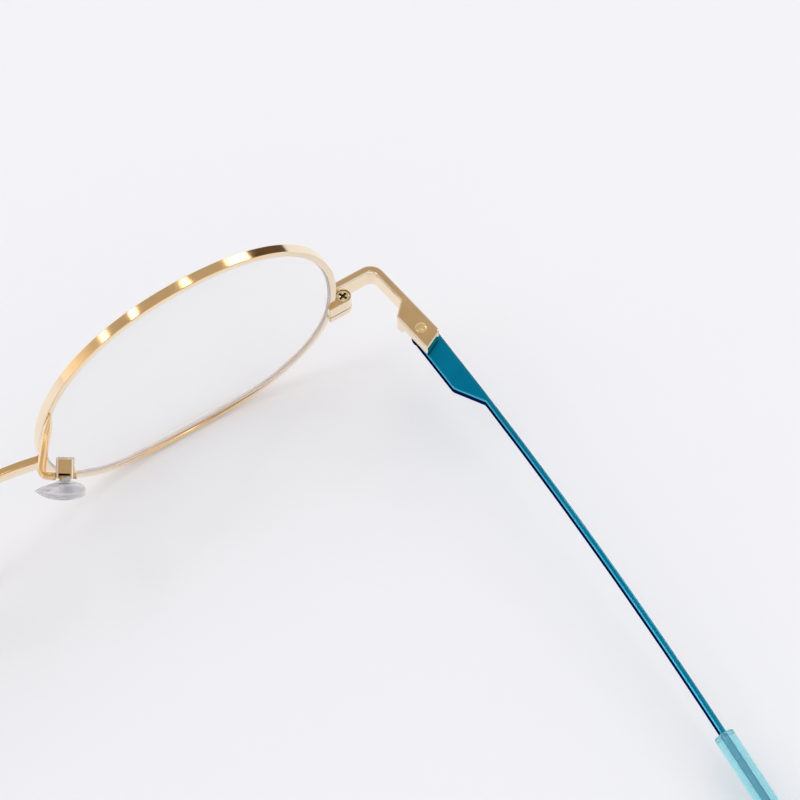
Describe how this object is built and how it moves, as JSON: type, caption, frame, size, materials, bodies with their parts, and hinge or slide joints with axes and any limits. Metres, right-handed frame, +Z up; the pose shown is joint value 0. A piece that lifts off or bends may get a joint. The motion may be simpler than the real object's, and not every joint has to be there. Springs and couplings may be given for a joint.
{
  "type": "round eyeglasses",
  "caption": "Wire spectacles with round, slightly flat-topped rims, folding temples on flat lap hinges and rocking nose pads, lying upside down on rims and ear bends.",
  "frame": {"origin": "middle of the bounding box in X and Y, at floor level, with the spectacles lying upside down on the brow edge of both rims and on both ear bends", "axes": "+X towards the wearer's left, +Y the way the wearer looks, +Z up, which is down the face as worn"},
  "size_m": [0.1364, 0.1562, 0.0451],
  "materials": {
    "gold": "polished gold plating",
    "screw": "polished pale gold",
    "teal": "satin teal anodised",
    "tip": "translucent aqua",
    "pad": "translucent silicone",
    "core": "bright",
    "washer": "dark",
    "lens": "clear"
  },
  "bodies": {
    "front": {"bridge": "gold", "left_rim": "gold", "left_lens": "lens", "left_lock_upper": "gold", "left_lock_lower": "gold", "left_lock_screw": "screw", "left_end_piece": "gold", "left_hinge_pin": "screw", "left_hinge_washer": "washer", "left_hinge_foot": "screw", "left_pad_arm": "gold", "left_pad_box": "gold", "left_pad_screw": "screw", "right_rim": "gold", "right_lens": "lens", "right_lock_upper": "gold", "right_lock_lower": "gold", "right_lock_screw": "screw", "right_end_piece": "gold", "right_hinge_pin": "screw", "right_hinge_washer": "washer", "right_hinge_foot": "screw", "right_pad_arm": "gold", "right_pad_box": "gold", "right_pad_screw": "screw"},
    "left_temple": {"left_temple": "teal", "left_temple_tip": "tip"},
    "right_temple": {"right_temple": "teal", "right_temple_tip": "tip"},
    "left_pad": {"left_nose_pad": "pad", "left_pad_core": "core"},
    "right_pad": {"right_nose_pad": "pad", "right_pad_core": "core"}
  },
  "joints": [
    {"name": "left_temple_fold", "type": "hinge", "parent": "front", "child": "left_temple", "pos_m": [0.06596, 0.06248, 0.01308], "axis": [0, 0.1095, -0.994], "range_deg": [0, 90]},
    {"name": "right_temple_fold", "type": "hinge", "parent": "front", "child": "right_temple", "pos_m": [-0.06596, 0.06248, 0.01308], "axis": [0, -0.1095, 0.994], "range_deg": [0, 84]},
    {"name": "left_pad_rock", "type": "hinge", "parent": "front", "child": "left_pad", "pos_m": [0.01098, 0.06513, 0.02131], "axis": [0.8425, -0.5221, -0.133], "range_deg": [-10, 10]},
    {"name": "right_pad_rock", "type": "hinge", "parent": "front", "child": "right_pad", "pos_m": [-0.01098, 0.06513, 0.02131], "axis": [0.8425, 0.5221, 0.133], "range_deg": [-10, 10]}
  ]
}
